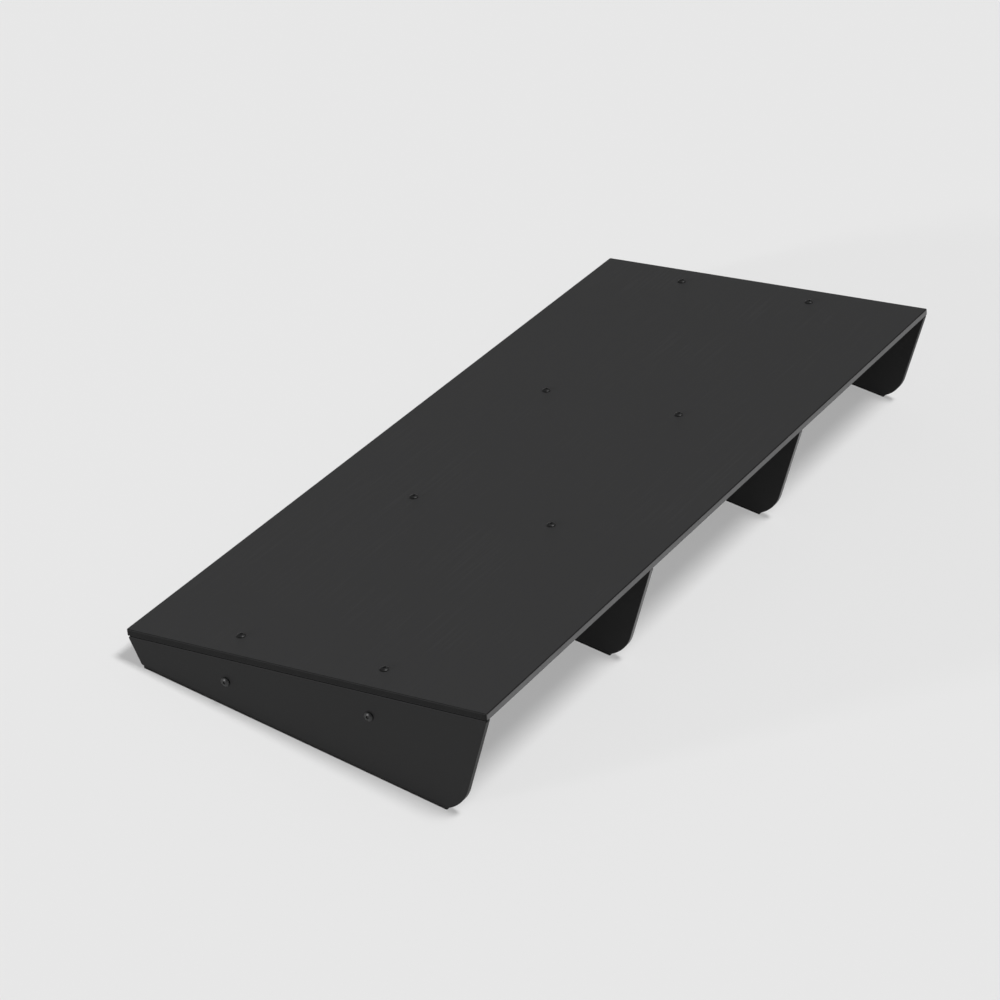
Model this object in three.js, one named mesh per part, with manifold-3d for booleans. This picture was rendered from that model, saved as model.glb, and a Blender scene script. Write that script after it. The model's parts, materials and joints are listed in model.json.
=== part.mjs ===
// A wedge-shaped pedalboard: a flat sheet deck screwed down onto four upright plates of the same sheet, one
// flush with each end of the deck and two ribs between them. An L-section angle joins each plate to the
// underside of the deck, and a rubber strip under each plate stands it on the floor.
//
// Millimetres. +X runs along the board, +Y from the low front edge to the high back edge, and +Z is up.
// Shapes that follow the deck are drawn in slope coordinates: t runs up the slope from the front edge of the
// deck, and n is the height above the deck's top face.

import * as THREE from 'three';
import { mergeVertices } from 'three/addons/utils/BufferGeometryUtils.js';
import Module from 'manifold-3d';

// Deck
const DECK_LENGTH = 800;
const DECK_DEPTH = 335;                              // up the slope
const DECK_TILT = THREE.MathUtils.degToRad(12.7);
const FRONT_HEIGHT = 29.5;                           // front edge of the deck's top face, above the floor
const SHEET = 6;                                     // thickness of the deck and of the plates
const EASED_EDGE = 0.5;
const DECK_CORNER_RADIUS = 1.5;
const PANEL_MARGIN = 1;                              // middle panel to the ribs' angles

// Upright plates
const RIB_FACE = 140;                                // middle of the board to a rib's outer face
const BACK_LEAN = THREE.MathUtils.degToRad(6);       // a plate's back edge leans in below the deck
const FRONT_LEAN = THREE.MathUtils.degToRad(36);     // and so does its front edge
const BACK_ROUND_RADIUS = 31.5;                      // the round at the bottom of the back edge
const BACK_ROUND_CORNER = THREE.MathUtils.degToRad(32);  // between the round and the bottom edge
const FRONT_CORNER_RADIUS = 3;
const PLATE_TOP_INSET = 0.6;                         // from the deck's front and back edges

// Angles
const ANGLE_LEG = 32;
const ANGLE_SHEET = 3;
const ANGLE_GAUGE = 21;                              // screw line, from the faces that the angle joins
const ANGLE_START = 71;                              // along t
const ANGLE_LENGTH = 178;
const SCREW_STATIONS = [93, 227];                    // screws along t, the same in both legs

// M4 button-head screws and flange nuts
const SHANK_RADIUS = 2;
const SCREW_LENGTH = 16;
const HEAD_RADIUS = 3.8;
const HEAD_HEIGHT = 2.2;
const HEAD_RIM = 0.9;
const SOCKET_RADIUS = 1.44;                          // corner radius of the 2.5 mm hexagon socket
const SOCKET_DEPTH = 1.3;
const HOLE_RADIUS = 2.3;
const NUT_CORNER_RADIUS = 4.04;                      // 7 mm across the flats
const NUT_HEIGHT = 4.6;
const NUT_FLANGE_RADIUS = 4.8;
const NUT_FLANGE_HEIGHT = 1.1;

// Foot strips
const FOOT_HEIGHT = 2;
const FOOT_WIDTH = 5.6;
const FOOT_CHAMFER = 0.4;

const GAP = 0.3;                                     // between parts that rest against each other
const ROUND_SIDES = 16;
const HOLE_SIDES = 12;
const CURVE_STEPS = HOLE_SIDES / 2;                  // an arc takes twice as many

const { Vector2 } = THREE;
const wasm = await Module();
wasm.setup();

// ---- materials ----

const black = (color, roughness, metalness = 0) => new THREE.MeshStandardMaterial({ color, roughness, metalness });
const MATERIALS = {
  sheet: black('#2b2b2c', 0.62),
  angle: black('#1d1d1e', 0.45, 0.6),
  screw: black('#141415', 0.38, 0.8),
  nut: black('#202022', 0.42, 0.8),
  foot: black('#0f0f10', 0.85),
};

// ---- coordinates ----

const ORIGIN = new Vector2();
const toLevel = (t, n) => new Vector2(t, n).rotateAround(ORIGIN, DECK_TILT).add(new Vector2(0, FRONT_HEIGHT));
const toSlope = (y, z) => new Vector2(y, z - FRONT_HEIGHT).rotateAround(ORIGIN, -DECK_TILT);

// ---- shape helpers ----

// How far a corner's rounding reaches along its edges.
const filletReach = (radius, cornerAngle) => radius / Math.tan(cornerAngle / 2);

// The arc that rounds the corner between two straight edges of a counter-clockwise outline.
function cornerArc(previous, corner, next, radius) {
  const toPrevious = previous.clone().sub(corner).normalize();
  const toNext = next.clone().sub(corner).normalize();
  const cornerAngle = Math.acos(toPrevious.dot(toNext));
  const reach = filletReach(radius, cornerAngle);
  const bisector = toPrevious.clone().add(toNext).normalize();
  const centre = corner.clone().addScaledVector(bisector, radius / Math.sin(cornerAngle / 2));
  const from = corner.clone().addScaledVector(toPrevious, reach).sub(centre).angle();
  const to = corner.clone().addScaledVector(toNext, reach).sub(centre).angle();
  return { centre, radius, from, to };
}

// A closed outline of arcs joined by straight edges.
function arcOutline(arcs) {
  const outline = new THREE.Shape();
  for (const { centre, radius, from, to } of arcs) {
    outline.absarc(centre.x, centre.y, radius, from, to, false);
  }
  outline.closePath();
  return outline;
}

function roundHole(x, y) {
  return new THREE.Path().absarc(x, y, HOLE_RADIUS, 0, 2 * Math.PI, false);
}

// A sheet of the given thickness with every edge eased, standing on z = 0.
function easedSheet(outline, thickness) {
  const geometry = new THREE.ExtrudeGeometry(outline, {
    depth: thickness - 2 * EASED_EDGE,
    bevelThickness: EASED_EDGE,
    bevelSize: EASED_EDGE,
    bevelOffset: -EASED_EDGE,
    bevelSegments: 1,
    curveSegments: CURVE_STEPS,
  });
  return geometry.translate(0, 0, EASED_EDGE);
}

function toSolid(geometry) {
  const bare = geometry.clone();
  bare.deleteAttribute('normal');
  bare.deleteAttribute('uv');
  const merged = mergeVertices(bare);
  const vertProperties = new Float32Array(merged.attributes.position.array);
  const triVerts = new Uint32Array(merged.index.array);
  return new wasm.Manifold(new wasm.Mesh({ numProp: 3, vertProperties, triVerts }));
}

function toGeometry(solid) {
  const { vertProperties, triVerts } = solid.getMesh();
  const geometry = new THREE.BufferGeometry();
  geometry.setAttribute('position', new THREE.BufferAttribute(vertProperties, 3));
  geometry.setIndex(new THREE.BufferAttribute(triVerts, 1));
  geometry.computeVertexNormals();
  return geometry;
}

// ---- geometry of the repeated parts ----

// The deck is joined from its plain middle panel, which is clear of every screw and angle, and two drilled ends.
function deckGeometry(screwLines) {
  const half = DECK_LENGTH / 2;
  const corners = [[-half, 0], [half, 0], [half, DECK_DEPTH], [-half, DECK_DEPTH]].map((at) => new Vector2(...at));
  const outline = arcOutline(corners.map((corner, i) =>
    cornerArc(corners.at(i - 1), corner, corners[(i + 1) % corners.length], DECK_CORNER_RADIUS)));
  const blank = toSolid(easedSheet(outline, SHEET).translate(0, 0, -SHEET));
  const panelWidth = 2 * (RIB_FACE - SHEET - ANGLE_LEG - PANEL_MARGIN);
  const panelCut = toSolid(new THREE.BoxGeometry(panelWidth, 3 * DECK_DEPTH, 3 * SHEET));
  const drill = new THREE.CylinderGeometry(HOLE_RADIUS, HOLE_RADIUS, 3 * SHEET, HOLE_SIDES).rotateX(Math.PI / 2);
  let ends = blank.subtract(panelCut);
  for (const x of screwLines) {
    for (const t of SCREW_STATIONS) {
      ends = ends.subtract(toSolid(drill.clone().translate(x, t, 0)));
    }
  }
  return toGeometry(ends.asOriginal().add(blank.intersect(panelCut).asOriginal()));
}

// An upright plate's key points, seen from +X: y and z above the floor. The back round is tangent to the back
// edge and meets the bottom edge at roundStart.
function platePoints() {
  const top = -SHEET - GAP;
  const bottom = FOOT_HEIGHT + GAP;
  const frontTop = toLevel(PLATE_TOP_INSET, top);
  const backTop = toLevel(DECK_DEPTH - PLATE_TOP_INSET, top);
  const frontBottom = new Vector2(frontTop.x + (frontTop.y - bottom) * Math.tan(FRONT_LEAN), bottom);
  const rise = BACK_ROUND_RADIUS * Math.cos(BACK_ROUND_CORNER);
  const run = (backTop.y - bottom - rise) * Math.tan(BACK_LEAN) + BACK_ROUND_RADIUS / Math.cos(BACK_LEAN);
  const roundCentre = new Vector2(backTop.x - run, bottom + rise);
  const roundStart = new Vector2(roundCentre.x + BACK_ROUND_RADIUS * Math.sin(BACK_ROUND_CORNER), bottom);
  return { frontTop, frontBottom, roundStart, roundCentre, backTop };
}

// An upright plate in slope coordinates, its thickness along +X from x = 0.
function plateGeometry() {
  const [frontTop, frontBottom, roundStart, roundCentre, backTop] =
    Object.values(platePoints()).map(({ x, y }) => toSlope(x, y));
  const backRound = {
    centre: roundCentre,
    radius: BACK_ROUND_RADIUS,
    from: BACK_ROUND_CORNER - Math.PI / 2 - DECK_TILT,
    to: -BACK_LEAN - DECK_TILT,
  };
  const roundEnd = new Vector2(BACK_ROUND_RADIUS, 0).rotateAround(ORIGIN, backRound.to).add(roundCentre);
  const outline = arcOutline([
    cornerArc(backTop, frontTop, frontBottom, DECK_CORNER_RADIUS),
    cornerArc(frontTop, frontBottom, roundStart, FRONT_CORNER_RADIUS),
    backRound,
    cornerArc(roundEnd, backTop, frontTop, DECK_CORNER_RADIUS),
  ]);
  outline.holes = SCREW_STATIONS.map((t) => roundHole(t, -SHEET - ANGLE_GAUGE));
  const alongX = new THREE.Matrix4().makeBasis(
    new THREE.Vector3(0, 1, 0), new THREE.Vector3(0, 0, 1), new THREE.Vector3(1, 0, 0));
  return easedSheet(outline, SHEET).applyMatrix4(alongX);
}

// An L-section angle whose outer corner runs along x = 0, n = 0, one leg towards the middle of the board.
function angleGeometry(side) {
  const legs = [[0, 0], [ANGLE_LEG, 0], [ANGLE_LEG, ANGLE_SHEET], [ANGLE_SHEET, ANGLE_SHEET],
    [ANGLE_SHEET, ANGLE_LEG], [0, ANGLE_LEG]];
  const section = new THREE.Shape(legs.map(([across, down]) => new Vector2(-side * across, -down)));
  const bar = new THREE.ExtrudeGeometry(section, { depth: ANGLE_LENGTH, bevelEnabled: false });
  bar.rotateX(Math.PI / 2).translate(0, ANGLE_START + ANGLE_LENGTH, 0);

  const gauge = ANGLE_GAUGE - GAP;
  const drill = new THREE.CylinderGeometry(HOLE_RADIUS, HOLE_RADIUS, 4 * ANGLE_SHEET, HOLE_SIDES);
  const throughDeckLeg = drill.clone().rotateX(Math.PI / 2).translate(-side * gauge, 0, 0);
  const throughPlateLeg = drill.clone().rotateZ(Math.PI / 2).translate(0, 0, -gauge);
  let solid = toSolid(bar);
  for (const t of SCREW_STATIONS) {
    for (const hole of [throughDeckLeg, throughPlateLeg]) {
      solid = solid.subtract(toSolid(hole.clone().translate(0, t, 0)));
    }
  }
  return toGeometry(solid);
}

// A button-head socket screw standing on +Y, with the underside of its head at y = 0.
function screwGeometry() {
  const domeRadius = (HEAD_RADIUS ** 2 + (HEAD_HEIGHT - HEAD_RIM) ** 2) / (2 * (HEAD_HEIGHT - HEAD_RIM));
  const domeCentre = HEAD_HEIGHT - domeRadius;
  const domeSteps = 4;
  const dome = Array.from({ length: domeSteps }, (_, i) => {
    const radius = HEAD_RADIUS * (1 - i / domeSteps);
    return new Vector2(radius, domeCentre + Math.sqrt(domeRadius ** 2 - radius ** 2));
  });
  const profile = [
    new Vector2(0, -SCREW_LENGTH),
    new Vector2(SHANK_RADIUS - EASED_EDGE, -SCREW_LENGTH),
    new Vector2(SHANK_RADIUS, EASED_EDGE - SCREW_LENGTH),
    new Vector2(SHANK_RADIUS, 0),
    new Vector2(HEAD_RADIUS, 0),
    ...dome,
    new Vector2(0, HEAD_HEIGHT),
  ];
  const blank = new THREE.LatheGeometry(profile, ROUND_SIDES);
  const socket = new THREE.CylinderGeometry(SOCKET_RADIUS, SOCKET_RADIUS, 2 * SOCKET_DEPTH, 6);
  socket.translate(0, HEAD_HEIGHT, 0);
  return toGeometry(toSolid(blank).subtract(toSolid(socket)));
}

// A flange nut whose flange rests on y = 0, the hexagon pointing down -Y.
function nutGeometry() {
  const flange = new THREE.CylinderGeometry(NUT_FLANGE_RADIUS, NUT_FLANGE_RADIUS, NUT_FLANGE_HEIGHT, ROUND_SIDES);
  flange.translate(0, -NUT_FLANGE_HEIGHT / 2, 0);
  const hexagon = new THREE.CylinderGeometry(NUT_CORNER_RADIUS, NUT_CORNER_RADIUS, NUT_HEIGHT - EASED_EDGE, 6);
  hexagon.translate(0, -(NUT_HEIGHT + EASED_EDGE) / 2, 0);
  const bore = new THREE.CylinderGeometry(HOLE_RADIUS, HOLE_RADIUS, 3 * NUT_HEIGHT, HOLE_SIDES);
  return toGeometry(toSolid(flange).add(toSolid(hexagon)).subtract(toSolid(bore)));
}

// A foot strip along +Y under a plate's straight bottom edge, centred on x = 0.
function footGeometry() {
  const { frontBottom, roundStart } = platePoints();
  const start = frontBottom.x + filletReach(FRONT_CORNER_RADIUS, Math.PI / 2 + FRONT_LEAN);
  const end = roundStart.x - EASED_EDGE;
  const half = FOOT_WIDTH / 2;
  const section = new THREE.Shape([
    new Vector2(-half, FOOT_HEIGHT),
    new Vector2(-half, FOOT_CHAMFER),
    new Vector2(FOOT_CHAMFER - half, 0),
    new Vector2(half - FOOT_CHAMFER, 0),
    new Vector2(half, FOOT_CHAMFER),
    new Vector2(half, FOOT_HEIGHT),
  ]);
  const strip = new THREE.ExtrudeGeometry(section, { depth: end - start, bevelEnabled: false });
  return strip.rotateX(Math.PI / 2).translate(0, end, 0);
}

// ---- assembly ----

function addMesh(parent, name, geometry, material) {
  const mesh = new THREE.Mesh(geometry, material);
  mesh.name = name;
  parent.add(mesh);
  return mesh;
}

const screw = screwGeometry();
const nut = nutGeometry();
const plate = plateGeometry();
const foot = footGeometry();

// A screw and its nut: at is the point on the outer face, out the rotation that turns +Y along the screw.
function addFastening(parent, name, at, out, grip) {
  const axis = new THREE.Vector3(0, 1, 0).applyEuler(out);
  const head = addMesh(parent, `${name}_screw`, screw, MATERIALS.screw);
  head.rotation.copy(out);
  head.position.copy(at).addScaledVector(axis, GAP);
  const behind = addMesh(parent, `${name}_nut`, nut, MATERIALS.nut);
  behind.rotation.copy(out);
  behind.position.copy(at).addScaledVector(axis, -grip - GAP);
}

// One upright plate with everything that belongs to it. side is 1 on the right and -1 on the left.
function addSupport(slope, floor, name, side, outerFace) {
  const innerFace = outerFace - SHEET;
  const body = addMesh(slope, name, plate, MATERIALS.sheet);
  body.position.x = side > 0 ? innerFace : -outerFace;

  const angle = addMesh(slope, `${name}_angle`, angleGeometry(side), MATERIALS.angle);
  angle.position.set(side * (innerFace - GAP), 0, -SHEET - GAP);

  const strip = addMesh(floor, `${name}_foot_strip`, foot, MATERIALS.foot);
  strip.position.x = side * (outerFace - SHEET / 2);

  const grip = SHEET + GAP + ANGLE_SHEET;
  const up = new THREE.Euler(Math.PI / 2, 0, 0);
  const outward = new THREE.Euler(0, 0, -side * Math.PI / 2);
  SCREW_STATIONS.forEach((t, i) => {
    const place = ['front', 'back'][i];
    const onDeck = new THREE.Vector3(side * (innerFace - ANGLE_GAUGE), t, 0);
    const onPlate = new THREE.Vector3(side * outerFace, t, -SHEET - ANGLE_GAUGE);
    addFastening(slope, `${name}_deck_${place}`, onDeck, up, grip);
    addFastening(slope, `${name}_side_${place}`, onPlate, outward, grip);
  });
}

const SUPPORTS = [
  ['end_plate_right', 1, DECK_LENGTH / 2],
  ['rib_right', 1, RIB_FACE],
  ['rib_left', -1, RIB_FACE],
  ['end_plate_left', -1, DECK_LENGTH / 2],
];

function buildPedalboard() {
  const floor = new THREE.Group();
  const slope = new THREE.Group();
  slope.rotation.x = DECK_TILT;
  slope.position.z = FRONT_HEIGHT;
  floor.add(slope);

  const screwLines = SUPPORTS.map(([, side, outerFace]) => side * (outerFace - SHEET - ANGLE_GAUGE));
  addMesh(slope, 'deck', deckGeometry(screwLines), MATERIALS.sheet);
  for (const [name, side, outerFace] of SUPPORTS) {
    addSupport(slope, floor, name, side, outerFace);
  }

  // The origin is on the floor, under the middle of the board.
  const centre = new THREE.Box3().setFromObject(floor, true).getCenter(new THREE.Vector3());
  floor.position.set(-centre.x, -centre.y, 0);
  const pedalboard = new THREE.Group();
  pedalboard.add(floor);
  return pedalboard;
}

export default buildPedalboard();
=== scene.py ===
"""A wedge-shaped pedalboard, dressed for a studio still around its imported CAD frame.

The board is a flat black plastic deck screwed onto four upright plates. The deck, the plates, the foot strips
and the fasteners are rebuilt here with rounded arrises and threads, each in place of its CAD node, and the
angles are the frame's own. Everything rides on the frame's single body.
"""

from __future__ import annotations

import json
import logging
import math
from dataclasses import dataclass, field
from enum import Enum, IntEnum
from typing import Callable, Iterable, Sequence, Union

import bpy
from mathutils import Matrix, Vector
from mathutils.geometry import tessellate_polygon

import sys


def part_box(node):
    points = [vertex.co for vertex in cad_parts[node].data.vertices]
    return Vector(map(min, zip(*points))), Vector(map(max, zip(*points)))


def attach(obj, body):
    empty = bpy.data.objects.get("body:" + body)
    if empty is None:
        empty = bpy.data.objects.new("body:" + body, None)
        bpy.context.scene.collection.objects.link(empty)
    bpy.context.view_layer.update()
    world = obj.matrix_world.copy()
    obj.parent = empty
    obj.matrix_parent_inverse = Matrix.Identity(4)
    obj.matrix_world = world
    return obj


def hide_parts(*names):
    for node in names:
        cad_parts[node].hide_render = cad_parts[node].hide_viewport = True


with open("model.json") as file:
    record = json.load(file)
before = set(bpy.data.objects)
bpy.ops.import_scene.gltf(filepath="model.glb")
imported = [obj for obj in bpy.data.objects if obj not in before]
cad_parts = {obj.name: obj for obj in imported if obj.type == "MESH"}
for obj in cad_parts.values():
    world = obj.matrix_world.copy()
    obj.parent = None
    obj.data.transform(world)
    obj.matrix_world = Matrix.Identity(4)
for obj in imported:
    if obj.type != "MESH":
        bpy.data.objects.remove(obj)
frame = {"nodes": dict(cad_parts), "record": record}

LOG = logging.getLogger("pedalboard")
BODY = "root"
MM = 0.001
SHARP_ANGLE = math.radians(40)

Colour = tuple[float, float, float]
Profile = tuple[tuple[float, float], ...]
Operand = Union["Value", float]


class Slot(Enum):
    """The record's material slots for the pieces that are rebuilt."""

    DECK = "deck_sheet"
    PLATE = "plate_sheet"
    SCREW = "screw_steel"
    NUT = "nut_steel"
    FOOT = "foot_rubber"


class Side(Enum):
    """Which half of the board a support stands in."""

    RIGHT = 1
    LEFT = -1


class Seat(Enum):
    """The surface that a fastening is driven into, as its nodes' names say it."""

    DECK = "deck"
    PLATE = "side"


class Skin(IntEnum):
    """The parts of a sheet's surface, in the order of its materials."""

    FACE = 0
    # The cut edge comes in two copies: a paler one, partly the cut finish and partly painted light, and a
    # dark one, which is painted shade.
    PALE_EDGE = 1
    ARRIS = 2
    DARK_EDGE = 3


# ---- shader graphs ----


class Value:
    """A number socket whose arithmetic adds Math nodes to its graph."""

    def __init__(self, graph: Graph, socket: bpy.types.NodeSocket) -> None:
        """Wraps a socket of a graph."""
        self.graph = graph
        self.socket = socket

    def __add__(self, other: Operand) -> Value:
        """Adds a value or a number."""
        return self.graph.math("ADD", self, other)

    def __radd__(self, other: Operand) -> Value:
        """Adds this value to a number."""
        return self.graph.math("ADD", other, self)

    def __sub__(self, other: Operand) -> Value:
        """Takes a value or a number away."""
        return self.graph.math("SUBTRACT", self, other)

    def __rsub__(self, other: Operand) -> Value:
        """Takes this value from a number."""
        return self.graph.math("SUBTRACT", other, self)

    def __mul__(self, other: Operand) -> Value:
        """Multiplies by a value or a number."""
        return self.graph.math("MULTIPLY", self, other)

    def __rmul__(self, other: Operand) -> Value:
        """Multiplies a number by this value."""
        return self.graph.math("MULTIPLY", other, self)

    def clamped(self) -> Value:
        """This value kept between 0 and 1."""
        node = self.graph.node("ShaderNodeClamp", {}, {"Value": self})
        return Value(self.graph, node.outputs["Result"])


class Graph:
    """The node tree of one material."""

    def __init__(self, name: str) -> None:
        """Starts an empty material.

        Args:
            name: The material's name.
        """
        self.material = bpy.data.materials.new(name)
        self.material.use_nodes = True
        self.tree = self.material.node_tree
        self.tree.nodes.clear()

    def node(self, kind: str, settings: dict, inputs: dict) -> bpy.types.Node:
        """Adds any node.

        Args:
            kind: The node's type.
            settings: Its properties, which are set first. A colour ramp's stops are given as "stops".
            inputs: A value, colour or link for each socket, by the socket's name or number.

        Returns:
            The new node.
        """
        made = self.tree.nodes.new(kind)
        for key, setting in settings.items():
            if key == "stops":
                self._set_stops(made, setting)
            else:
                setattr(made, key, setting)
        for key, given in inputs.items():
            source = given.socket if isinstance(given, Value) else given
            if isinstance(source, bpy.types.NodeSocket):
                self.tree.links.new(source, made.inputs[key])
            else:
                made.inputs[key].default_value = source
        return made

    @staticmethod
    def _set_stops(ramp: bpy.types.Node, stops: Sequence[tuple[float, float]]) -> None:
        """Sets a colour ramp's two stops.

        Args:
            ramp: The colour ramp node.
            stops: Each stop's position and grey level.
        """
        for element, (position, grey) in zip(ramp.color_ramp.elements, stops):
            element.position = position
            element.color = (grey, grey, grey, 1.0)

    def math(self, operation: str, first: Operand, second: Operand) -> Value:
        """Adds a Math node.

        Args:
            operation: The node's operation.
            first: Its first operand.
            second: Its second operand.

        Returns:
            The node's result.
        """
        node = self.node("ShaderNodeMath", {"operation": operation}, {0: first, 1: second})
        return Value(self, node.outputs[0])

    def position(self, stretch: Vector = Vector((1.0, 1.0, 1.0))) -> bpy.types.NodeSocket:
        """The surface point in the row frame, in metres.

        Args:
            stretch: How much each axis is multiplied by.

        Returns:
            A vector socket.
        """
        coordinates = self.node("ShaderNodeTexCoord", {}, {})
        scaled = self.node(
            "ShaderNodeVectorMath", {"operation": "MULTIPLY"}, {0: coordinates.outputs["Object"], 1: stretch}
        )
        return scaled.outputs["Vector"]

    def noise(self, size: float, detail: float = 2.0, roughness: float = 0.5,
              stretch: Vector = Vector((1.0, 1.0, 1.0))) -> Value:
        """Smooth noise from about 0.3 to 0.7.

        Args:
            size: The size of its features, in metres.
            detail: How many finer layers it has.
            roughness: How strong the finer layers are.
            stretch: How much each axis is multiplied by.

        Returns:
            The noise's value.
        """
        node = self.node(
            "ShaderNodeTexNoise",
            {"noise_dimensions": "3D"},
            {"Vector": self.position(stretch), "Scale": 1.0 / size, "Detail": detail, "Roughness": roughness},
        )
        return Value(self, node.outputs["Fac"])

    def cells(self, size: float) -> Value:
        """The distance to the nearest of many scattered points, in cells.

        Args:
            size: The distance between points, in metres.

        Returns:
            The distance.
        """
        inputs = {"Vector": self.position(), "Scale": 1.0 / size}
        node = self.node("ShaderNodeTexVoronoi", {"feature": "F1"}, inputs)
        return Value(self, node.outputs["Distance"])

    def ramp(self, value: Value, low: float, high: float) -> Value:
        """A value's rise from 0 at low to 1 at high.

        Args:
            value: The value.
            low: Where the rise starts.
            high: Where it ends.

        Returns:
            The rise.
        """
        node = self.node("ShaderNodeValToRGB", {"stops": [(low, 0.0), (high, 1.0)]}, {"Fac": value})
        return Value(self, node.outputs["Color"])

    def mix(self, mask: Operand, first: Colour, second: Colour) -> bpy.types.NodeSocket:
        """Blends two colours.

        Args:
            mask: 0 gives the first colour and 1 the second.
            first: The first colour.
            second: The second colour.

        Returns:
            A colour socket.
        """
        # A Mix node has sockets of the same names for each data type, so its colour ones go by number.
        node = self.node(
            "ShaderNodeMix", {"data_type": "RGBA"}, {0: mask, 6: (*first, 1.0), 7: (*second, 1.0)}
        )
        return node.outputs[2]

    def bump(self, height: Value, depth: float) -> bpy.types.NodeSocket:
        """Raises the surface by a height map.

        Args:
            height: The height, from 0 to 1.
            depth: The height of 1, in metres.

        Returns:
            A normal socket.
        """
        node = self.node("ShaderNodeBump", {}, {"Height": height, "Distance": depth, "Strength": 1.0})
        return node.outputs["Normal"]

    def surface(self, **sockets: object) -> bpy.types.Material:
        """Ends the graph in a Principled shader.

        Args:
            **sockets: The shader's sockets, with underscores for spaces.

        Returns:
            The finished material.
        """
        inputs = {name.replace("_", " "): given for name, given in sockets.items()}
        shader = self.node("ShaderNodeBsdfPrincipled", {}, inputs)
        self.node("ShaderNodeOutputMaterial", {}, {"Surface": shader.outputs["BSDF"]})
        return self.material


# ---- finishes ----


@dataclass(frozen=True)
class GrainedSheet:
    """The matt hair-cell face of black plastic sheet, with faint handling marks."""

    name: str
    colour: Colour = (0.0085, 0.0085, 0.0087)
    rubbed: Colour = (0.0125, 0.0125, 0.0127)
    roughness: float = 0.56
    specular: float = 0.24
    grain: float = 0.9 * MM
    grain_depth: float = 0.035 * MM
    cloud: float = 90 * MM
    streak: float = 3 * MM

    def build(self) -> bpy.types.Material:
        """Makes the material."""
        graph = Graph(self.name)
        pebbles = graph.cells(self.grain)
        creases = graph.noise(0.45 * self.grain, detail=3.0)
        clouds = graph.noise(self.cloud, detail=4.0, roughness=0.6)
        streaks = graph.noise(self.streak, detail=3.0, stretch=Vector((0.04, 1.0, 1.0)))
        rubbing = (graph.ramp(clouds, 0.46, 0.72) * graph.ramp(streaks, 0.5, 0.66)).clamped()
        paler = (0.7 * rubbing + 0.3 * graph.ramp(creases, 0.4, 0.7)).clamped()
        return graph.surface(
            Base_Color=graph.mix(paler, self.colour, self.rubbed),
            Roughness=self.roughness + 0.08 * (clouds - 0.5) - 0.05 * rubbing,
            Specular_IOR_Level=self.specular,
            Normal=graph.bump(0.7 * pebbles + 0.5 * creases, self.grain_depth),
        )


@dataclass(frozen=True)
class MachinedEdge:
    """A cut edge of the sheet, with the fine lines of the cutter across its thickness."""

    name: str
    colour: Colour = (0.064, 0.064, 0.065)
    bright: Colour = (0.094, 0.094, 0.095)
    roughness: float = 0.44
    specular: float = 0.5
    chatter: float = 0.8 * MM
    chatter_depth: float = 0.012 * MM
    smear: float = 12 * MM

    def build(self) -> bpy.types.Material:
        """Makes the material."""
        graph = Graph(self.name)
        lines = graph.noise(self.chatter, detail=2.0, stretch=Vector((1.0, 1.0, 0.15)))
        smears = graph.noise(self.smear, detail=3.0)
        brightness = graph.ramp(0.6 * lines + 0.4 * smears, 0.35, 0.68)
        return graph.surface(
            Base_Color=graph.mix(brightness, self.colour, self.bright),
            Roughness=self.roughness + 0.12 * (lines - 0.5),
            Specular_IOR_Level=self.specular,
            Normal=graph.bump(lines, self.chatter_depth),
        )


@dataclass(frozen=True)
class AnodisedMetal:
    """Satin black anodised aluminium, with the fine lines of its extrusion."""

    name: str
    colour: Colour = (0.030, 0.030, 0.032)
    bare: Colour = (0.075, 0.075, 0.078)
    roughness: float = 0.36
    line: float = 0.35 * MM
    line_depth: float = 0.006 * MM
    speck: float = 4 * MM

    def build(self) -> bpy.types.Material:
        """Makes the material."""
        graph = Graph(self.name)
        lines = graph.noise(self.line, detail=2.0, stretch=Vector((1.0, 0.02, 0.3)))
        specks = graph.noise(self.speck, detail=5.0, roughness=0.7)
        return graph.surface(
            Base_Color=graph.mix(graph.ramp(specks, 0.58, 0.75), self.colour, self.bare),
            Metallic=0.85,
            Roughness=self.roughness + 0.14 * (lines - 0.5) + 0.1 * (specks - 0.5),
            Normal=graph.bump(lines, self.line_depth),
        )


@dataclass(frozen=True)
class OxidedSteel:
    """Black oxide steel, oiled, with a slightly mottled coat."""

    name: str
    colour: Colour = (0.015, 0.015, 0.0155)
    worn: Colour = (0.034, 0.034, 0.033)
    roughness: float = 0.38
    mottle: float = 0.7 * MM
    pit_depth: float = 0.008 * MM

    def build(self) -> bpy.types.Material:
        """Makes the material."""
        graph = Graph(self.name)
        mottle = graph.noise(self.mottle, detail=4.0, roughness=0.6)
        return graph.surface(
            Base_Color=graph.mix(graph.ramp(mottle, 0.55, 0.75), self.colour, self.worn),
            Metallic=0.15,
            Specular_IOR_Level=0.5,
            Roughness=self.roughness + 0.3 * (mottle - 0.5),
            Normal=graph.bump(mottle, self.pit_depth),
        )


@dataclass(frozen=True)
class StripRubber:
    """Matt black rubber strip, faintly dusty, with a fine moulded texture."""

    name: str
    colour: Colour = (0.008, 0.008, 0.008)
    dusty: Colour = (0.028, 0.027, 0.026)
    roughness: float = 0.82
    texture: float = 0.5 * MM
    texture_depth: float = 0.03 * MM
    dust: float = 6 * MM

    def build(self) -> bpy.types.Material:
        """Makes the material."""
        graph = Graph(self.name)
        texture = graph.noise(self.texture, detail=3.0)
        dust = graph.noise(self.dust, detail=4.0, roughness=0.65)
        return graph.surface(
            Base_Color=graph.mix(graph.ramp(dust, 0.5, 0.8), self.colour, self.dusty),
            Roughness=self.roughness + 0.15 * (dust - 0.5),
            Specular_IOR_Level=0.3,
            Normal=graph.bump(texture, self.texture_depth),
        )


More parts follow.
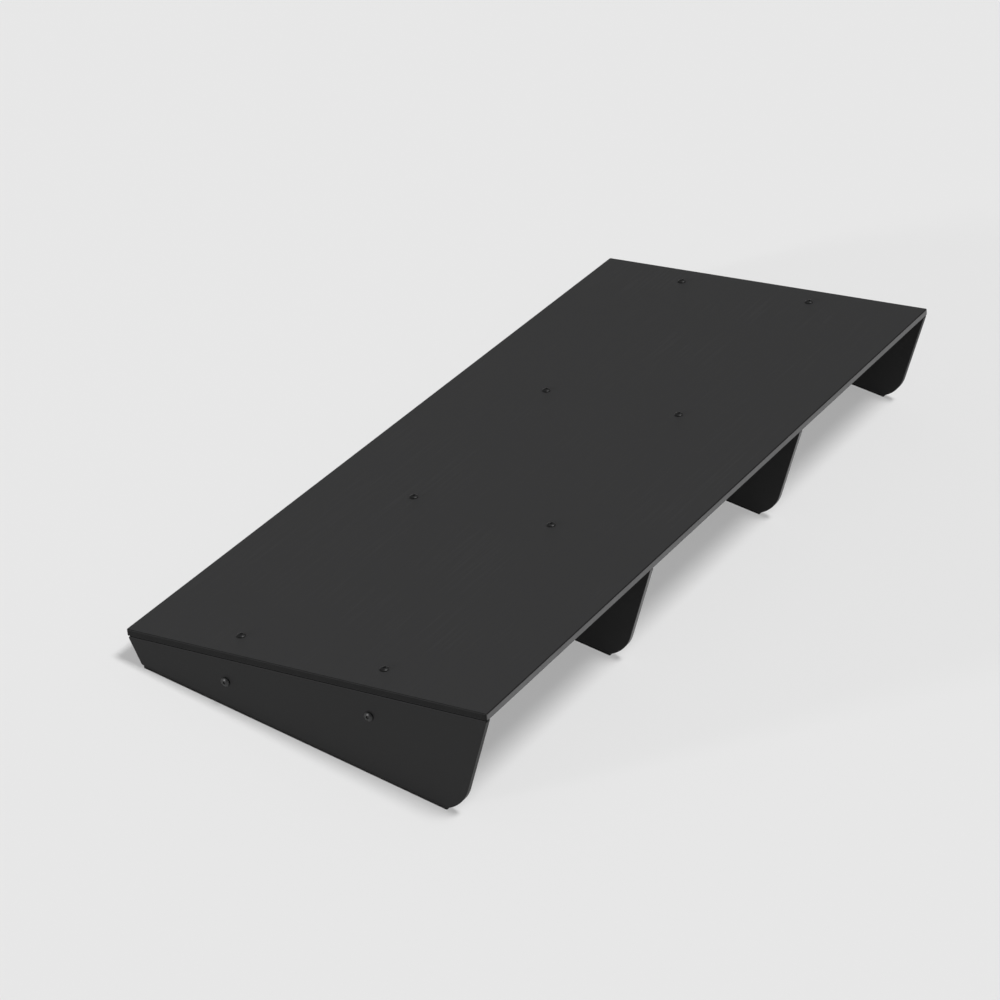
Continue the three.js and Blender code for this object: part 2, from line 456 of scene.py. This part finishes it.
@dataclass(frozen=True)
class StudioFloor:
    """A plain pale floor, with a trace of unevenness."""

    name: str
    colour: Colour = (0.80, 0.80, 0.80)
    brighter: Colour = (0.804, 0.804, 0.804)
    cloud: float = 1500 * MM

    def build(self) -> bpy.types.Material:
        """Makes the material."""
        graph = Graph(self.name)
        tone = graph.noise(self.cloud, detail=1.0)
        return graph.surface(
            Base_Color=graph.mix(tone, self.colour, self.brighter), Roughness=0.9, Specular_IOR_Level=0.0
        )


@dataclass(frozen=True)
class Finishes:
    """Every material of the board, made once and shared."""

    deck_face: bpy.types.Material = field(
        default_factory=GrainedSheet(
            "deck_face", colour=(0.0335, 0.0335, 0.034), rubbed=(0.039, 0.039, 0.0395), specular=0.26
        ).build
    )
    plate_face: bpy.types.Material = field(default_factory=GrainedSheet("plate_face").build)
    arris: bpy.types.Material = field(
        default_factory=GrainedSheet("sheet_arris", roughness=0.5, specular=0.22, grain_depth=0.01 * MM).build
    )
    # Two copies of one cut-edge finish. The paler one is partly the cut finish and partly painted light, on
    # the edges that face the board's front and back and on the ribs. The dark one is painted shade, on the
    # edges that face the board's ends and on the end plates.
    cut_edge_and_painted_light_finish: bpy.types.Material = field(default_factory=MachinedEdge("pale_cut_edge").build)
    painted_shade_edge: bpy.types.Material = field(
        default_factory=MachinedEdge(
            "dark_cut_edge", colour=(0.003, 0.003, 0.003), bright=(0.008, 0.008, 0.008), specular=0.15
        ).build
    )
    angle: bpy.types.Material = field(default_factory=AnodisedMetal("anodised_angle").build)
    screw: bpy.types.Material = field(default_factory=OxidedSteel("oxided_screw").build)
    nut: bpy.types.Material = field(default_factory=OxidedSteel("oxided_nut", roughness=0.42).build)
    foot: bpy.types.Material = field(default_factory=StripRubber("foot_rubber").build)

    def sheet(self, face: bpy.types.Material) -> list[bpy.types.Material]:
        """A sheet's materials in the order of Skin, with its own one for its faces."""
        return [face, self.cut_edge_and_painted_light_finish, self.arris, self.painted_shade_edge]


# ---- meshes ----


@dataclass
class MeshData:
    """Points, faces and the material number of each face."""

    points: list[Vector] = field(default_factory=list)
    faces: list[tuple[int, ...]] = field(default_factory=list)
    slots: list[int] = field(default_factory=list)

    def piece(self, name: str, place: Matrix, materials: Sequence[bpy.types.Material]) -> bpy.types.Object:
        """Makes a smooth-shaded object whose flat faces stay flat.

        Args:
            name: The piece's name.
            place: Where its own axes lie in the row frame.
            materials: One material for each number in slots.

        Returns:
            The object, with its place in its mesh.
        """
        mesh = bpy.data.meshes.new(name)
        mesh.from_pydata([place @ point for point in self.points], [], self.faces)
        for material in materials:
            mesh.materials.append(material)
        mesh.polygons.foreach_set("material_index", self.slots)
        mesh.polygons.foreach_set("use_smooth", [True] * len(mesh.polygons))
        mesh.update()
        mesh.set_sharp_from_angle(angle=SHARP_ANGLE)
        made = bpy.data.objects.new(name, mesh)
        bpy.context.scene.collection.objects.link(made)
        self._flatten_large_faces(made)
        return made

    @staticmethod
    def _flatten_large_faces(made: bpy.types.Object) -> None:
        """Weights the normals by face area, so that only the roundings shade as curves.

        Args:
            made: The object.
        """
        sharp = made.modifiers.new("sharp", "WEIGHTED_NORMAL")
        sharp.keep_sharp = True
        sharp.weight = 100
        depsgraph = bpy.context.evaluated_depsgraph_get()
        flat = bpy.data.meshes.new_from_object(made.evaluated_get(depsgraph))
        made.modifiers.clear()
        old = made.data
        made.data = flat
        bpy.data.meshes.remove(old)
        flat.name = made.name


def corner_arc(last: Vector, corner: Vector, onward: Vector, radius: float, steps: int = 8) -> list[Vector]:
    """The rounding of a corner between two straight edges.

    Args:
        last: The corner before it, anticlockwise.
        corner: The corner.
        onward: The corner after it.
        radius: The rounding's radius.
        steps: Its straight steps.

    Returns:
        The rounding's points, anticlockwise.
    """
    to_last = (last - corner).normalized()
    to_next = (onward - corner).normalized()
    half = math.acos(to_last.dot(to_next)) / 2
    centre = corner + (to_last + to_next).normalized() * (radius / math.sin(half))
    start = corner + to_last * (radius / math.tan(half)) - centre
    first = math.atan2(start.y, start.x)
    return arc(centre, radius, first, first + math.pi - 2 * half, steps)


def arc(centre: Vector, radius: float, first: float, last: float, steps: int) -> list[Vector]:
    """Points along an arc.

    Args:
        centre: The arc's centre.
        radius: Its radius.
        first: The angle that it starts at, in radians.
        last: The angle that it ends at.
        steps: Its straight steps.

    Returns:
        The points.
    """
    angles = [first + (last - first) * step / steps for step in range(steps + 1)]
    return [centre + radius * Vector((math.cos(angle), math.sin(angle))) for angle in angles]


def rounded_box(low: Vector, high: Vector, radius: float) -> list[Vector]:
    """The outline of a rectangle with rounded corners.

    Args:
        low: Its lowest corner.
        high: Its highest corner.
        radius: The radius of its corners.

    Returns:
        The outline's points, anticlockwise.
    """
    corners = [low, Vector((high.x, low.y)), high, Vector((low.x, high.y))]
    arcs = [corner_arc(corners[i - 1], corners[i], corners[(i + 1) % 4], radius) for i in range(4)]
    return [point for rounding in arcs for point in rounding]


def round_hole(centre: Vector, radius: float, steps: int = 32) -> list[Vector]:
    """A hole's outline.

    Args:
        centre: The hole's centre.
        radius: Its radius.
        steps: The number of its points.

    Returns:
        The points, clockwise, so that the material stays on the left.
    """
    return arc(centre, radius, 0.0, -2 * math.pi, steps)[:-1]


@dataclass(frozen=True)
class Slab:
    """A flat sheet with rounded arrises, standing on z = 0.

    Its pale function tells from an edge's outward direction whether that cut edge gets the paler finish,
    partly painted light, or the dark one, which is painted shade.
    """

    outline: Sequence[Vector]
    holes: Sequence[Sequence[Vector]]
    thickness: float
    arris: float
    pale: Callable[[Vector], bool] = lambda outward: True
    arris_steps: int = 4

    def levels(self) -> list[tuple[float, float, Skin]]:
        """The sheet's section from the bottom face to the top one.

        Returns:
            Each level's inset, its height and the skin of the band above it.
        """
        quarter = [math.pi / 2 * step / self.arris_steps for step in range(self.arris_steps + 1)]
        rise = [(self.arris * (1 - math.sin(a)), self.arris * (1 - math.cos(a))) for a in quarter]
        bottom = [(inset, height, Skin.ARRIS) for inset, height in rise[:-1]]
        edge = (*rise[-1], Skin.PALE_EDGE)
        top = [(inset, self.thickness - height, Skin.ARRIS) for inset, height in reversed(rise)]
        return [*bottom, edge, *top]

    @staticmethod
    def inset(loop: Sequence[Vector], distance: float) -> list[Vector]:
        """Moves a loop into the material.

        Args:
            loop: The loop's points, with the material on the left.
            distance: How far.

        Returns:
            The moved points.
        """
        moved = []
        for i, point in enumerate(loop):
            along = (point - loop[i - 1]).normalized()
            onward = (loop[(i + 1) % len(loop)] - point).normalized()
            left = Vector((-along.y - onward.y, along.x + onward.x)).normalized()
            moved.append(point + left * (distance / left.dot(Vector((-along.y, along.x)))))
        return moved

    def mesh(self) -> MeshData:
        """Builds the sheet."""
        data = MeshData()
        levels = self.levels()
        caps: dict[int, list[list[Vector]]] = {0: [], len(levels) - 1: []}
        cap_ids: dict[int, list[int]] = {0: [], len(levels) - 1: []}
        for loop in [self.outline, *self.holes]:
            count = len(loop)
            first = len(data.points)
            for number, (distance, height, _) in enumerate(levels):
                ring = self.inset(loop, distance) if distance > 0 else list(loop)
                if number in caps:
                    caps[number].append([point.to_3d() for point in ring])
                    cap_ids[number].extend(range(len(data.points), len(data.points) + count))
                data.points.extend(Vector((point.x, point.y, height)) for point in ring)
            for number, (_, _, skin) in enumerate(levels[:-1]):
                low, high = first + number * count, first + (number + 1) * count
                for i in range(count):
                    j = (i + 1) % count
                    along = (loop[j] - loop[i]).normalized()
                    # Edges turned down by the pale function get the dark copy, which is painted shade.
                    dark = skin is Skin.PALE_EDGE and not self.pale(Vector((along.y, -along.x)))
                    data.faces.append((low + i, low + j, high + j, high + i))
                    data.slots.append(Skin.DARK_EDGE if dark else skin)
        for number, loops in caps.items():
            self._fill(data, loops, cap_ids[number], upward=number != 0)
        return data

    @staticmethod
    def _fill(data: MeshData, loops: list[list[Vector]], ids: list[int], upward: bool) -> None:
        """Fills one flat face between its outline and its holes.

        Args:
            data: The mesh to add to.
            loops: The outline and the holes.
            ids: The mesh's number for each of their points.
            upward: Whether the face looks up.
        """
        flat = [point for loop in loops for point in loop]
        for a, b, c in tessellate_polygon(loops):
            anticlockwise = (flat[b] - flat[a]).cross(flat[c] - flat[a]).z > 0
            corners = (a, b, c) if anticlockwise == upward else (c, b, a)
            data.faces.append(tuple(ids[corner] for corner in corners))
            data.slots.append(Skin.FACE)


@dataclass(frozen=True)
class Ring:
    """One level of a turned part: a circle, or a hexagon where its flats are nearer than the circle."""

    height: float
    radius: float = math.inf
    apothem: float = math.inf
    groove: float = 0.0
    pitch: float = 1.0

    def reach(self, angle: float) -> float:
        """How far the level reaches in one direction.

        Args:
            angle: The direction, in radians.

        Returns:
            The distance from the axis.
        """
        sixth = math.pi / 3
        flat = self.apothem / math.cos((angle % sixth) - sixth / 2)
        turn = (self.height / self.pitch + angle / (2 * math.pi)) % 1.0
        return min(self.radius, flat) - self.groove * (1 - abs(2 * turn - 1))


@dataclass(frozen=True)
class Turning:
    """A turned part, from a list of rings. An open one ends in a point at each end of its axis."""

    rings: Sequence[Ring]
    closed_loop: bool = False
    sides: int = 48

    def mesh(self) -> MeshData:
        """Builds the part."""
        data = MeshData()
        turns = [2 * math.pi * side / self.sides for side in range(self.sides)]
        for ring in self.rings:
            for turn in turns:
                reach = ring.reach(turn)
                data.points.append(Vector((reach * math.cos(turn), reach * math.sin(turn), ring.height)))
        count = len(self.rings)
        for number in range(count if self.closed_loop else count - 1):
            low, high = number * self.sides, ((number + 1) % count) * self.sides
            for i in range(self.sides):
                j = (i + 1) % self.sides
                data.faces.append((low + j, low + i, high + i, high + j))
        if not self.closed_loop:
            self._close(data, 0, forward=True)
            self._close(data, count - 1, forward=False)
        data.slots = [0] * len(data.faces)
        return data

    def _close(self, data: MeshData, number: int, forward: bool) -> None:
        """Closes an end with a fan of triangles.

        Args:
            data: The mesh to add to.
            number: The ring that the fan closes.
            forward: Whether the fan runs with the ring's order.
        """
        centre = len(data.points)
        data.points.append(Vector((0.0, 0.0, self.rings[number].height)))
        for i in range(self.sides):
            ends = (number * self.sides + i, number * self.sides + (i + 1) % self.sides)
            data.faces.append((*ends, centre) if forward else (*reversed(ends), centre))


# ---- the board ----


@dataclass(frozen=True)
class Slope:
    """The deck's own axes: x along the board, t up the slope from its front edge, n out of its top face."""

    place: Matrix

    @classmethod
    def from_frame(cls, depth: float, thickness: float) -> Slope:
        """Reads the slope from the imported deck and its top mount.

        Args:
            depth: The deck's size up the slope.
            thickness: The deck's thickness.

        Returns:
            The slope.
        """
        top = next(mount for mount in frame["record"]["mounts"] if mount["name"] == "deck_top")
        normal = Vector(top["axis"]).normalized()
        along = Vector((1.0, 0.0, 0.0))
        up_slope = normal.cross(along)
        low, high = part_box("deck")
        origin = (low + high) / 2 - up_slope * (depth / 2) + normal * (thickness / 2)
        place = Matrix((along, up_slope, normal)).transposed().to_4x4()
        place.translation = origin
        return cls(place)

    def local(self, point: Vector) -> Vector:
        """A row-frame point as x, t and n."""
        return self.place.inverted() @ point

    def level(self, t: float, n: float) -> Vector:
        """A point of the slope as y and z in the row frame."""
        return (self.place @ Vector((0.0, t, n))).yz

    def flat(self, y: float, z: float) -> Vector:
        """A row-frame y and z as t and n."""
        return self.local(Vector((0.0, y, z))).yz


@dataclass(frozen=True)
class Deck:
    """The flat sheet that the pedals stand on."""

    slope: Slope
    finishes: Finishes
    length: float = 800 * MM
    depth: float = 335 * MM
    thickness: float = 6 * MM
    corner_radius: float = 1.5 * MM
    arris: float = 0.7 * MM
    hole_radius: float = 2.3 * MM

    def build(self, screw_points: Iterable[Vector]) -> bpy.types.Object:
        """Makes the deck. The cut edges along its front and its back get the paler finish, partly painted
        light, and those at its ends get painted shade.

        Args:
            screw_points: Where its screws go, as x and t.

        Returns:
            The deck's piece.
        """
        half = self.length / 2
        slab = Slab(
            outline=rounded_box(Vector((-half, 0.0)), Vector((half, self.depth)), self.corner_radius),
            holes=[round_hole(point, self.hole_radius) for point in screw_points],
            thickness=self.thickness,
            arris=self.arris,
            # Painted light on the front and back edges, painted shade on the end edges.
            pale=lambda outward: abs(outward.y) > abs(outward.x),
        )
        place = self.slope.place @ Matrix.Translation((0.0, 0.0, -self.thickness))
        materials = self.finishes.sheet(self.finishes.deck_face)
        return settle(slab.mesh().piece("deck_sheet", place, materials), "deck")


@dataclass(frozen=True)
class Plate:
    """An upright tapered plate with a leaning front edge and a large round at the foot of its back edge."""

    name: str
    slope: Slope
    finishes: Finishes
    deck_depth: float
    painted_light_on_edges: bool
    thickness: float = 6 * MM
    gap: float = 0.3 * MM
    top_inset: float = 0.6 * MM
    floor_clearance: float = 2.3 * MM
    front_lean: float = math.radians(36)
    back_lean: float = math.radians(6)
    small_radius: float = 1.5 * MM
    front_radius: float = 3 * MM
    round_radius: float = 31.5 * MM
    round_corner: float = math.radians(32)
    arris: float = 0.5 * MM
    hole_radius: float = 2.3 * MM

    def outline(self) -> list[Vector]:
        """The plate's outline as t and n, with a back round that is tangent to the back edge only."""
        under_deck = -self.thickness - self.gap
        front_top = self.slope.level(self.top_inset, under_deck)
        back_top = self.slope.level(self.deck_depth - self.top_inset, under_deck)
        bottom = self.floor_clearance
        front_bottom = Vector((front_top.x + (front_top.y - bottom) * math.tan(self.front_lean), bottom))
        radius = self.round_radius
        rise = radius * math.cos(self.round_corner)
        run = (back_top.y - bottom - rise) * math.tan(self.back_lean) + radius / math.cos(self.back_lean)
        centre = Vector((back_top.x - run, bottom + rise))
        back_round = arc(centre, radius, self.round_corner - math.pi / 2, -self.back_lean, steps=24)
        points = [
            *corner_arc(back_top, front_top, front_bottom, self.small_radius),
            *corner_arc(front_top, front_bottom, back_round[0], self.front_radius),
            *back_round,
            *corner_arc(back_round[-1], back_top, front_top, self.small_radius),
        ]
        return [self.slope.flat(*point) for point in points]

    def build(self, screw_points: Iterable[Vector]) -> bpy.types.Object:
        """Makes the plate.

        Args:
            screw_points: Where its screws go, as t and n.

        Returns:
            The plate's piece.
        """
        slab = Slab(
            outline=self.outline(),
            holes=[round_hole(point, self.hole_radius) for point in screw_points],
            thickness=self.thickness,
            arris=self.arris,
            # True on the ribs gives their edges painted light; False on the end plates gives theirs painted
            # shade.
            pale=lambda outward: self.painted_light_on_edges,
        )
        low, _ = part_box(self.name)
        upright = Matrix(((0, 0, 1), (1, 0, 0), (0, 1, 0))).to_4x4()
        place = Matrix.Translation((low.x, 0.0, 0.0)) @ self.slope.place @ upright
        materials = self.finishes.sheet(self.finishes.plate_face)
        return settle(slab.mesh().piece(f"{self.name}_sheet", place, materials), self.name)


@dataclass(frozen=True)
class FootStrip:
    """The rubber strip that a plate stands on."""

    name: str
    finishes: Finishes
    corner_radius: float = 1.2 * MM
    arris: float = 0.4 * MM

    def build(self) -> bpy.types.Object:
        """Makes the strip in the space of its CAD node."""
        low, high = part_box(self.name)
        slab = Slab(
            outline=rounded_box(low.xy, high.xy, self.corner_radius),
            holes=[],
            thickness=high.z - low.z,
            arris=self.arris,
        )
        place = Matrix.Translation((0.0, 0.0, low.z))
        strip = slab.mesh().piece(f"{self.name}_rubber", place, [self.finishes.foot] * len(Skin))
        return settle(strip, self.name)


@dataclass(frozen=True)
class ButtonScrew:
    """A button-head socket screw. Its axis is +Z, with the underside of the head at 0.

    Its rim_round is the rounding under the head's rim, as heights and insets from the head's radius.
    """

    finishes: Finishes
    length: float = 16 * MM
    shank_radius: float = 2 * MM
    head_radius: float = 3.8 * MM
    head_height: float = 2.2 * MM
    rim: float = 0.9 * MM
    rim_round: Profile = ((0.22 * MM, 0.0), (0.06 * MM, 0.08 * MM), (0.0, 0.25 * MM))
    dome_steps: int = 8
    socket_apothem: float = 1.25 * MM
    socket_depth: float = 1.3 * MM
    mouth_width: float = 0.35 * MM
    mouth_depth: float = 0.2 * MM
    drill_point: float = 0.2 * MM
    fillet: float = 0.2 * MM
    pitch: float = 0.7 * MM
    thread_depth: float = 0.3 * MM
    thread_length: float = 3.5 * MM
    thread_steps: int = 40
    run_out: float = 0.1 * MM
    tip_length: float = 0.4 * MM
    tip_inset: float = 0.35 * MM
    tip_chamfer: float = 0.25 * MM

    def dome(self, radius: float) -> float:
        """The height of the head's dome at a distance from the axis."""
        crown = self.head_height - self.rim
        sphere = (self.head_radius**2 + crown**2) / (2 * crown)
        return self.head_height - sphere + math.sqrt(sphere**2 - radius**2)

    def head(self) -> list[Ring]:
        """The socket, the dome and the rounded rim."""
        mouth = self.socket_apothem + self.mouth_width
        floor = self.head_height - self.socket_depth
        turns = [math.pi / 2 * step / self.dome_steps for step in range(self.dome_steps + 1)]
        reaches = [mouth + (self.head_radius - mouth) * math.sin(turn) for turn in turns]
        return [
            Ring(floor - self.drill_point, radius=self.drill_point),
            Ring(floor, apothem=self.socket_apothem),
            Ring(self.dome(mouth) - self.mouth_depth, apothem=self.socket_apothem),
            *[Ring(self.dome(reach), radius=reach) for reach in reaches],
            *[Ring(height, radius=self.head_radius - inset) for height, inset in self.rim_round],
        ]

    def shank(self) -> list[Ring]:
        """The plain shank, the end of its thread and the chamfered tip."""
        tip = -self.length
        start = tip + self.thread_length
        fall = (self.thread_length - self.tip_length) / self.thread_steps
        thread = [start - fall * step for step in range(self.thread_steps + 1)]
        core = self.shank_radius - self.tip_inset
        return [
            Ring(0.0, radius=self.shank_radius + self.fillet),
            Ring(-self.fillet, radius=self.shank_radius),
            Ring(start + self.run_out, radius=self.shank_radius),
            *[Ring(z, radius=self.shank_radius, groove=self.thread_depth, pitch=self.pitch) for z in thread],
            Ring(tip + self.tip_chamfer, radius=core),
            Ring(tip, radius=core - self.tip_chamfer),
        ]

    def build(self, node: str, place: Matrix) -> bpy.types.Object:
        """Makes a screw.

        Args:
            node: The CAD node that it stands for.
            place: Its axes in the row frame.

        Returns:
            The screw's piece.
        """
        turned = Turning(self.head() + self.shank()).mesh()
        return settle(turned.piece(f"{node}_turned", place, [self.finishes.screw]), node)


@dataclass(frozen=True)
class FlangeNut:
    """A flange nut. Its axis is +Z, with the flange's face at 0 and the hexagon pointing down.

    Its flange_rim is the flange's outside, as depths and insets from the flange's radius. Its end_round is
    the rounding of the hexagon's corners, as heights above the far end and how far past the flats they reach.
    """

    finishes: Finishes
    height: float = 4.6 * MM
    apothem: float = 3.5 * MM
    flange_radius: float = 4.8 * MM
    flange_rim: Profile = (
        (0.0, 0.3 * MM), (0.12 * MM, 0.06 * MM), (0.35 * MM, 0.0),
        (0.7 * MM, 0.0), (0.85 * MM, 0.12 * MM), (1.1 * MM, 0.6 * MM),
    )
    hexagon_start: float = 1.2 * MM
    hexagon_end: float = 0.75 * MM
    end_round: Profile = ((0.5 * MM, 0.45 * MM), (0.25 * MM, 0.25 * MM), (0.0, -0.05 * MM))
    bore_radius: float = 2.05 * MM
    chamfer: float = 0.3 * MM

    def rings(self) -> list[Ring]:
        """The nut's section, from its flange's face round the outside and back up its bore."""
        flat = self.apothem
        end = -self.height
        return [
            Ring(0.0, radius=self.bore_radius + self.chamfer),
            *[Ring(-depth, radius=self.flange_radius - inset) for depth, inset in self.flange_rim],
            Ring(-self.hexagon_start, apothem=flat),
            Ring(end + self.hexagon_end, apothem=flat),
            *[Ring(end + height, radius=flat + past, apothem=flat) for height, past in self.end_round],
            Ring(end, radius=self.bore_radius + self.chamfer),
            Ring(end + self.chamfer, radius=self.bore_radius),
            Ring(-self.chamfer, radius=self.bore_radius),
        ]

    def build(self, node: str, place: Matrix) -> bpy.types.Object:
        """Makes a nut.

        Args:
            node: The CAD node that it stands for.
            place: Its axes in the row frame.

        Returns:
            The nut's piece.
        """
        turned = Turning(self.rings(), closed_loop=True).mesh()
        return settle(turned.piece(f"{node}_turned", place, [self.finishes.nut]), node)


@dataclass(frozen=True)
class Support:
    """One upright plate with its angle, its foot strip and its screws and nuts."""

    name: str
    side: Side
    slope: Slope
    finishes: Finishes
    deck_depth: float
    painted_light_on_edges: bool
    gap: float = 0.3 * MM
    grip: float = 9.3 * MM
    places: tuple[str, ...] = ("front", "back")

    def plate_points(self) -> list[Vector]:
        """Where the plate's screws go, as t and n."""
        boxes = [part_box(f"{self.name}_{Seat.PLATE.value}_{place}_screw") for place in self.places]
        return [self.slope.local((low + high) / 2).yz for low, high in boxes]

    def deck_points(self) -> list[Vector]:
        """Where the deck's screws go, as x and t, in line with the plate's."""
        boxes = [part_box(f"{self.name}_{Seat.DECK.value}_{place}_screw") for place in self.places]
        across = [(low.x + high.x) / 2 for low, high in boxes]
        return [Vector((x, point.x)) for x, point in zip(across, self.plate_points())]

    def axes(self, seat: Seat, across: float, t: float, n: float) -> Matrix:
        """A fastening's axes in the row frame, with +Z out of the surface it is driven into.

        Args:
            seat: The surface.
            across: Its place along the board.
            t: Its place up the slope.
            n: Its height above the deck's top face.

        Returns:
            The axes.
        """
        angle = 0.0 if seat is Seat.DECK else self.side.value * math.pi / 2
        turn = Matrix.Rotation(angle, 4, "Y")
        return self.slope.place @ Matrix.Translation((across, t, n)) @ turn

    def fasten(self, seat: Seat, place: str, axes: Matrix) -> None:
        """Drives one screw and its nut.

        Args:
            seat: The surface that it is driven into.
            place: Which of the two places it is in.
            axes: Its axes at the surface.
        """
        node = f"{self.name}_{seat.value}_{place}"
        head = axes @ Matrix.Translation((0.0, 0.0, self.gap))
        behind = axes @ Matrix.Translation((0.0, 0.0, -self.grip - self.gap))
        ButtonScrew(self.finishes).build(f"{node}_screw", head)
        FlangeNut(self.finishes).build(f"{node}_nut", behind)

    def build(self) -> None:
        """Makes the support's pieces and dresses its angle."""
        plate = Plate(self.name, self.slope, self.finishes, self.deck_depth, self.painted_light_on_edges)
        plate.build(self.plate_points())
        FootStrip(f"{self.name}_foot_strip", self.finishes).build()
        dress(f"{self.name}_angle", self.finishes.angle)
        low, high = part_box(self.name)
        outer_face = high.x if self.side is Side.RIGHT else low.x
        for place, on_deck, on_plate in zip(self.places, self.deck_points(), self.plate_points()):
            self.fasten(Seat.DECK, place, self.axes(Seat.DECK, on_deck.x, on_deck.y, 0.0))
            self.fasten(Seat.PLATE, place, self.axes(Seat.PLATE, outer_face, on_plate.x, on_plate.y))


def settle(piece: bpy.types.Object, node: str) -> bpy.types.Object:
    """Fixes a finished piece to the board in place of its CAD node.

    Args:
        piece: The piece.
        node: The CAD node that it stands for.

    Returns:
        The piece.
    """
    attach(piece, BODY)
    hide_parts(node)
    LOG.info("%s: %d faces, stands for %s", piece.name, len(piece.data.polygons), node)
    return piece


def dress(node: str, material: bpy.types.Material) -> None:
    """Gives a CAD node its finish.

    Args:
        node: The node.
        material: The finish.
    """
    carried = frame["nodes"][node]
    for material_slot in carried.material_slots:
        material_slot.material = material
    LOG.info("%s: carried over with %s", node, material.name)


# ---- the studio ----


@dataclass(frozen=True)
class Softbox:
    """A distant soft light, set by where it stands."""

    name: str
    azimuth: float
    elevation: float
    strength: float
    softness: float
    casts_shadows: bool = True

    def build(self) -> bpy.types.Object:
        """Makes the light."""
        data = bpy.data.lights.new(self.name, "SUN")
        data.energy = self.strength
        data.angle = math.radians(self.softness)
        data.use_shadow = self.casts_shadows
        lamp = bpy.data.objects.new(self.name, data)
        lamp.rotation_mode = "QUATERNION"
        lamp.rotation_quaternion = (-direction(self.azimuth, self.elevation)).to_track_quat("-Z", "Y")
        bpy.context.scene.collection.objects.link(lamp)
        return lamp


@dataclass(frozen=True)
class Studio:
    """The pale floor, the soft lights and the camera."""

    floor_size: float = 60.0
    floor_drop: float = 0.1 * MM
    sky: float = 0.08
    azimuth: float = 116.17
    elevation: float = 33.06
    roll: float = 8.13
    distance: float = 2.9205
    focal_length: float = 124.94
    aim_along: float = 89.2 * MM
    aim_up_slope: float = 163.7 * MM
    lights: tuple[Softbox, ...] = (
        Softbox("top_light", azimuth=198.4, elevation=74.5, strength=1.435, softness=16.5),
        Softbox(
            "back_fill", azimuth=180.0, elevation=55.0, strength=1.726, softness=10.0, casts_shadows=False
        ),
        Softbox("end_light", azimuth=62.0, elevation=4.0, strength=1.3, softness=6.0),
    )

    def build_floor(self) -> None:
        """Lays the floor."""
        half = self.floor_size / 2
        corners = [(-half, -half), (half, -half), (half, half), (-half, half)]
        mesh = bpy.data.meshes.new("studio_floor")
        mesh.from_pydata([(x, y, -self.floor_drop) for x, y in corners], [], [(0, 1, 2, 3)])
        mesh.materials.append(StudioFloor("studio_floor").build())
        floor = bpy.data.objects.new("studio_floor", mesh)
        bpy.context.scene.collection.objects.link(floor)

    def build_sky(self) -> None:
        """Surrounds the set with an even pale light."""
        world = bpy.data.worlds.new("studio_sky")
        world.use_nodes = True
        background = world.node_tree.nodes["Background"]
        background.inputs["Color"].default_value = (1.0, 1.0, 1.0, 1.0)
        background.inputs["Strength"].default_value = self.sky
        bpy.context.scene.world = world

    def build_camera(self, slope: Slope) -> None:
        """Stands the camera behind the board's right-hand end, rolled a little.

        Args:
            slope: The deck's axes, in which the camera aims at a point of the deck's top face.
        """
        data = bpy.data.cameras.new("camera")
        data.lens = self.focal_length
        camera = bpy.data.objects.new("camera", data)
        bpy.context.scene.collection.objects.link(camera)
        back = direction(self.azimuth, self.elevation)
        aim = slope.place @ Vector((self.aim_along, self.aim_up_slope, 0.0))
        upright = (-back).to_track_quat("-Z", "Y").to_matrix().to_4x4()
        rolled = upright @ Matrix.Rotation(math.radians(self.roll), 4, "Z")
        camera.matrix_world = Matrix.Translation(aim + back * self.distance) @ rolled
        bpy.context.scene.camera = camera

    def build(self, slope: Slope) -> None:
        """Sets up the whole studio.

        Args:
            slope: The deck's axes.
        """
        bpy.context.scene.view_settings.view_transform = "Standard"
        self.build_camera(slope)
        self.build_floor()
        self.build_sky()
        for light in self.lights:
            light.build()


def direction(azimuth: float, elevation: float) -> Vector:
    """The direction of something that stands round the board.

    Args:
        azimuth: 0 is in front of the board, 90 to its right, in degrees.
        elevation: The height above the horizon, in degrees.

    Returns:
        A unit vector from the board.
    """
    a, e = math.radians(azimuth), math.radians(elevation)
    return Vector((math.sin(a) * math.cos(e), -math.cos(a) * math.cos(e), math.sin(e)))


def main() -> None:
    """Builds the studio and the board, and reports each piece."""
    logging.basicConfig(level=logging.INFO, format="%(name)s: %(message)s", stream=sys.stdout)
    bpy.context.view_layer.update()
    slope = Slope.from_frame(Deck.depth, Deck.thickness)
    Studio().build(slope)

    finishes = Finishes()
    supports = [
        Support(name, side, slope, finishes, Deck.depth, painted_light_on_edges)
        for name, side, painted_light_on_edges in (
            # The last column: True for edges with painted light, False for edges in painted shade.
            ("end_plate_right", Side.RIGHT, False),
            ("rib_right", Side.RIGHT, True),
            ("rib_left", Side.LEFT, True),
            ("end_plate_left", Side.LEFT, False),
        )
    ]
    Deck(slope, finishes).build([point for support in supports for point in support.deck_points()])
    for support in supports:
        support.build()


if __name__ == "__main__":
    main()
